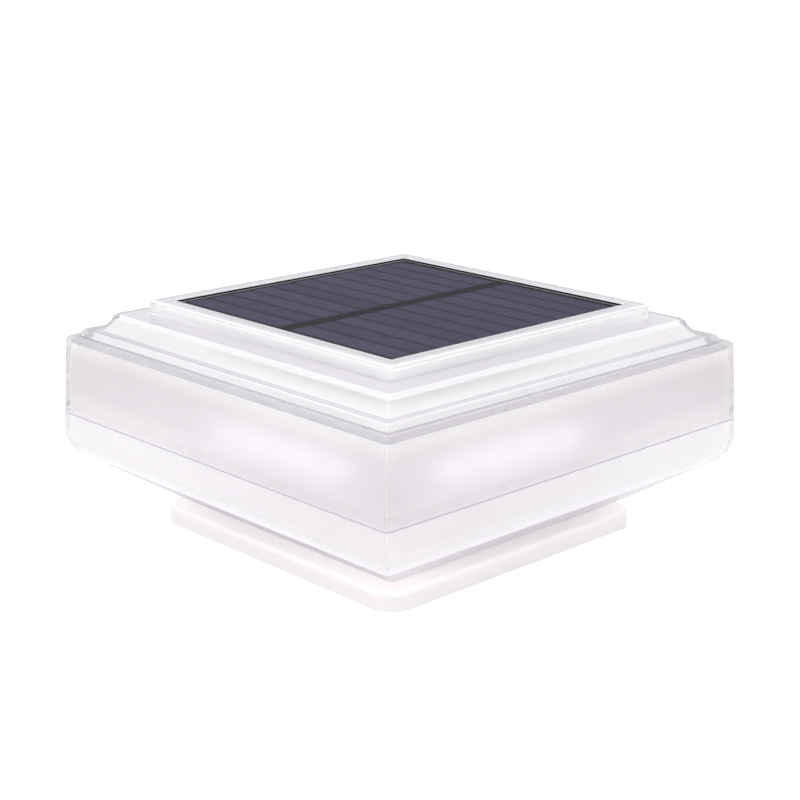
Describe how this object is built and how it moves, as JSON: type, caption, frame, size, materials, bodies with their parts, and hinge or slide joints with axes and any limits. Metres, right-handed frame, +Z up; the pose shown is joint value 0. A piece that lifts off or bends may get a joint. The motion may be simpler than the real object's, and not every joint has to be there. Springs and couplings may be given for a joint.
{
  "type": "deck post cap light",
  "caption": "Square solar cap light for a deck post: clear stepped shade over a clear tray, dark solar panel on top, white collar below that slips over the post.",
  "frame": {"origin": "centre of the foot's underside, which is the base of the whole light", "axes": "+Z up, through the solar panel; X and Y square to the four sides"},
  "size_m": [0.1694, 0.1694, 0.0809],
  "materials": {
    "clear_shade": "clear moulded plastic, frosted on the inside of the walls",
    "clear_tray": "clear moulded plastic, polished",
    "white_collar": "opaque white moulded plastic",
    "white_core": "opaque white moulded plastic",
    "silicon_cell": "dark blue-grey solar cell",
    "panel_substrate": "black laminate",
    "panel_resin": "clear cast resin",
    "silicone": "translucent silicone",
    "steel": "stainless steel",
    "nickel": "nickel-plated spring steel",
    "cell_wrap": "shrink sleeve",
    "board_laminate": "green solder mask",
    "component_black": "moulded component bodies",
    "connector_white": "natural nylon",
    "strip_white": "white solder mask",
    "phosphor": "light-emitting chips with phosphor",
    "switch_black": "switch body",
    "plunger_ivory": "switch plunger",
    "button_grey": "satin push button"
  },
  "bodies": {
    "cap_light": {"post_collar": "white_collar", "tray": "clear_tray", "shade": "clear_shade", "panel_seal": "silicone", "panel_board": "panel_substrate", "solar_cells": "silicon_cell", "panel_coat": "panel_resin", "panel_terminals": "steel", "lamp_housing": "white_core", "housing_gasket": "silicone", "base_plate": "white_core", "core_screws": "steel", "battery_cell": "cell_wrap", "contact_plate": "nickel", "contact_leaf": "nickel", "battery_door": "white_core", "door_gasket": "silicone", "door_screw": "steel", "circuit_board": "board_laminate", "board_components": "component_black", "board_connectors": "connector_white", "switch_body": "switch_black", "button_seal": "silicone", "led_board_right": "strip_white", "led_chips_right": "phosphor", "led_board_back": "strip_white", "led_chips_back": "phosphor", "led_board_left": "strip_white", "led_chips_left": "phosphor", "led_board_front": "strip_white", "led_chips_front": "phosphor"},
    "push_button": {"power_button": "button_grey", "switch_plunger": "plunger_ivory"}
  },
  "joints": [
    {"name": "button_press", "type": "slide", "parent": "cap_light", "child": "push_button", "axis": [0, 0, 1], "range_m": [0, 0.0016], "stiffness_N_per_m": 700, "springref_m": -0.001}
  ]
}
